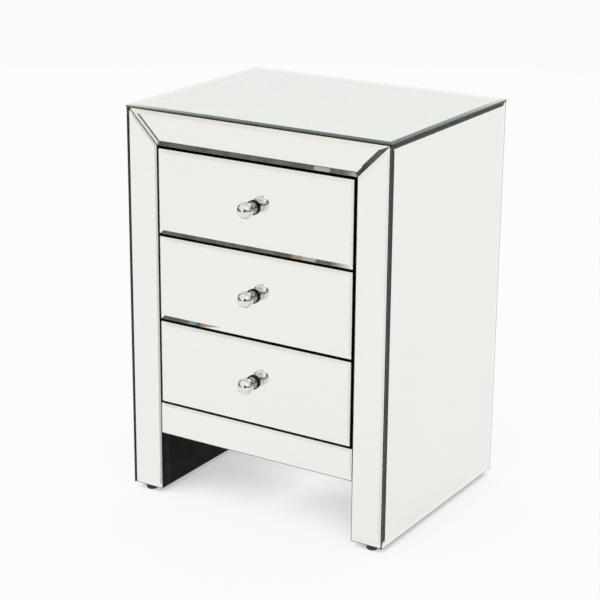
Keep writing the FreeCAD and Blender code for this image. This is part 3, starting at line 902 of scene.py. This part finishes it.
class CHEST_OT_knobs(bpy.types.Operator):
    """Chrome ball knobs, turned once and copied to each drawer"""
    bl_idname = "chest.knobs"
    bl_label = "Knobs"

    def execute(self, context):
        chosen = settings().knob
        first = DRAWERS[0] + "_drawer_knob"
        low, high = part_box(first)
        base = Vector((0, high.y, (low.z + high.z) / 2))

        def off_glass(part):
            return (part.calc_center_median() - base).dot(TO_FRONT)

        knobs = [lathe(first + "_turned", knob_profile(), base, TO_FRONT, chosen.steps)]
        give_materials(knobs[0], [
            (polished_chrome(), lambda part: True),
            (neck_chrome(), lambda part: off_glass(part) < chosen.cove_end),
            (seat_rubber(), lambda part: off_glass(part) < chosen.seat),
        ])
        for drawer in DRAWERS[1:]:
            name = drawer + "_drawer_knob"
            knobs.append(copy_of(knobs[0], name + "_turned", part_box(name)[0] - low))
        for drawer, made in zip(DRAWERS, knobs):
            place(made, drawer + "_drawer", "knob_chrome", drawer + "_drawer_knob")
        return {"FINISHED"}


def foot_profile(height):
    """Half profile of a foot, from the middle of its recess round the tread to the top."""
    chosen = settings().foot
    radius, tread = chosen.radius, chosen.tread_radius
    edge = chosen.edge_round
    shoulder = height - chosen.rim_height
    points = [(0.0, chosen.recess), (chosen.recess_radius, chosen.recess), (chosen.recess_radius, 0.0)]
    points.append((tread - edge, 0.0))
    points += quarter_curve((tread, edge), radius - tread, shoulder - edge)
    points += arc_points((radius - edge, height - edge), edge, 0, QUARTER, RIM_STEPS)
    points.append((0.0, height))
    return points


class CHEST_OT_feet(bpy.types.Operator):
    """Round plastic feet, turned once and copied to the corners"""
    bl_idname = "chest.feet"
    bl_label = "Feet"

    def execute(self, context):
        chosen = settings().foot
        low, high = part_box("feet")
        inset = Vector((chosen.radius, chosen.radius, 0))
        low, high = low + inset, high - inset
        spots = [Vector((x, y, 0)) for x in (low.x, high.x) for y in (low.y, high.y)]
        made = lathe("foot_1", foot_profile(high.z), spots[0], UP, chosen.steps)
        made.data.materials.append(black_plastic())
        feet = [made]
        for count, spot in enumerate(spots[1:], start=2):
            feet.append(copy_of(made, "foot_%d" % count, spot - spots[0]))
        for foot in feet:
            place(foot, "carcass", "foot_plastic", "feet")
        return {"FINISHED"}


class CHEST_OT_metalwork(bpy.types.Operator):
    """Finish of the runners, ball cages and screws, whose CAD shapes stay"""
    bl_idname = "chest.metalwork"
    bl_label = "Runners and screws"

    def execute(self, context):
        finishes = {"runner_steel": zinc_plate(), "cage_steel": bright_steel(),
                    "screw_steel": screw_zinc()}
        for part in frame["record"]["subparts"]:
            made = finishes.get(part["material_slot"])
            if made:
                refinish(part["node"], made)
        return {"FINISHED"}


# Studio
def within(tree, azimuth, elevation, where):
    """A soft mask over one part of the room."""
    middle, half, low, high, soft = where
    aside = math_node(tree, "ABSOLUTE", math_node(tree, "SUBTRACT", azimuth, middle))
    across = fade(tree, aside, half + soft, half)
    above = fade(tree, elevation, low - soft, low)
    below = fade(tree, elevation, high + soft, high)
    return math_node(tree, "MULTIPLY", across, math_node(tree, "MULTIPLY", above, below))


def folds(tree, azimuth, scale, detail, deep, pale):
    """The colour of hanging cloth, from deep to pale along its folds."""
    made = add_node(tree, "ShaderNodeTexNoise", noise_dimensions="1D")
    made.inputs["Scale"].default_value = scale
    made.inputs["Detail"].default_value = detail
    tree.links.new(azimuth, made.inputs["W"])
    return mixed(tree, fade(tree, made.outputs["Fac"], *FOLD_RANGE), deep, pale)


def studio_world():
    """Pale room with a curtain, drapes and two soft boxes. The camera itself sees a plain backdrop."""
    chosen = settings().studio
    world = bpy.data.worlds.new("studio")
    world.use_nodes = True
    tree = world.node_tree
    tree.nodes.clear()
    direction = add_node(tree, "ShaderNodeTexCoord").outputs["Generated"]
    split = add_node(tree, "ShaderNodeSeparateXYZ")
    tree.links.new(direction, split.inputs["Vector"])
    elevation = math_node(tree, "ARCSINE", split.outputs["Z"])
    ahead = math_node(tree, "MULTIPLY", split.outputs["Y"], -1.0)
    azimuth = math_node(tree, "ARCTAN2", split.outputs["X"], ahead)
    brighter = fade(tree, elevation, chosen.horizon_low, chosen.horizon_high)
    room = mixed(tree, brighter, chosen.horizon, chosen.ceiling)
    curtain = folds(tree, azimuth, chosen.curtain_scale, CURTAIN_DETAIL, chosen.curtain, chosen.curtain_fold)
    drape = folds(tree, azimuth, chosen.drape_scale, DRAPE_DETAIL, chosen.drape, chosen.drape_fold)
    parts = ((chosen.front_wall_span, chosen.front_wall), (chosen.curtain_span, curtain),
             (chosen.left_drape, drape), (chosen.right_drape, drape),
             (chosen.screen_span, chosen.screen), (chosen.camera_side_span, chosen.camera_side),
             (chosen.front_lamp, chosen.lamp), (chosen.high_lamp, chosen.lamp),
             (chosen.slit_span, chosen.slit), (chosen.amber_high, chosen.amber),
             (chosen.amber_low, chosen.amber), (chosen.blue_span, chosen.blue))
    for where, shown in parts:
        room = mixed(tree, within(tree, azimuth, elevation, where), room, shown)
    light = add_node(tree, "ShaderNodeBackground")
    tree.links.new(room, light.inputs["Color"])
    plain = add_node(tree, "ShaderNodeBackground")
    plain.inputs["Color"].default_value = (*chosen.backdrop, 1.0)
    ray = add_node(tree, "ShaderNodeLightPath")
    seen = add_node(tree, "ShaderNodeMixShader")
    end = add_node(tree, "ShaderNodeOutputWorld")
    tree.links.new(ray.outputs["Is Camera Ray"], seen.inputs["Fac"])
    tree.links.new(light.outputs["Background"], seen.inputs[1])
    tree.links.new(plain.outputs["Background"], seen.inputs[2])
    tree.links.new(seen.outputs["Shader"], end.inputs["Surface"])
    return world


def studio_camera():
    chosen = settings().studio
    level = math.cos(chosen.elevation)
    back = Vector((math.sin(chosen.azimuth) * level, -math.cos(chosen.azimuth) * level,
                   math.sin(chosen.elevation)))
    right = UP.cross(back).normalized()
    above = back.cross(right)
    across = right * math.cos(chosen.roll) + above * math.sin(chosen.roll)
    upright = above * math.cos(chosen.roll) - right * math.sin(chosen.roll)
    bpy.ops.object.camera_add(location=chosen.camera_place)
    camera = bpy.context.object
    camera.name = "camera"
    turn = Matrix((across, upright, back)).transposed().to_4x4()
    camera.matrix_world = Matrix.Translation(chosen.camera_place) @ turn
    camera.data.lens = chosen.lens
    camera.data.sensor_width = chosen.sensor
    bpy.context.scene.camera = camera


class CHEST_OT_studio(bpy.types.Operator):
    """Pale floor, soft light and the camera"""
    bl_idname = "chest.studio"
    bl_label = "Studio"

    def execute(self, context):
        chosen = settings().studio
        scene = context.scene
        scene.view_settings.view_transform = "Standard"
        scene.world = studio_world()
        bpy.ops.object.select_all(action="DESELECT")
        bpy.ops.mesh.primitive_circle_add(radius=chosen.floor_radius, vertices=FLOOR_SIDES,
                                          fill_type="NGON")
        floor = context.object
        floor.name = "floor"
        floor.data.materials.append(studio_floor())
        studio_camera()
        return {"FINISHED"}


class CHEST_PT_panel(bpy.types.Panel):
    """Steps that build the chest, in order"""
    bl_idname = "CHEST_PT_panel"
    bl_label = "Mirrored chest"
    bl_space_type = "VIEW_3D"
    bl_region_type = "UI"
    bl_category = "Chest"

    def draw(self, context):
        for step in STEPS:
            self.layout.operator(step.bl_idname)


STEPS = (CHEST_OT_frame_mirrors, CHEST_OT_drawer_mirrors, CHEST_OT_carcass_boards, CHEST_OT_drawer_boxes,
         CHEST_OT_knobs, CHEST_OT_feet, CHEST_OT_metalwork, CHEST_OT_studio)
GROUPS = (MirrorSettings, BoardSettings, KnobSettings, FootSettings, MetalSettings, StudioSettings,
          ChestSettings)
CLASSES = (*GROUPS, *STEPS, CHEST_PT_panel)


def register():
    for part in CLASSES:
        bpy.utils.register_class(part)
    bpy.types.Scene.chest = PointerProperty(type=ChestSettings)


def unregister():
    del bpy.types.Scene.chest
    for part in reversed(CLASSES):
        bpy.utils.unregister_class(part)


def main():
    register()
    bpy.ops.chest.frame_mirrors()
    bpy.ops.chest.drawer_mirrors()
    bpy.ops.chest.carcass_boards()
    bpy.ops.chest.drawer_boxes()
    bpy.ops.chest.knobs()
    bpy.ops.chest.feet()
    bpy.ops.chest.metalwork()
    bpy.ops.chest.studio()


if __name__ == "__main__":
    main()
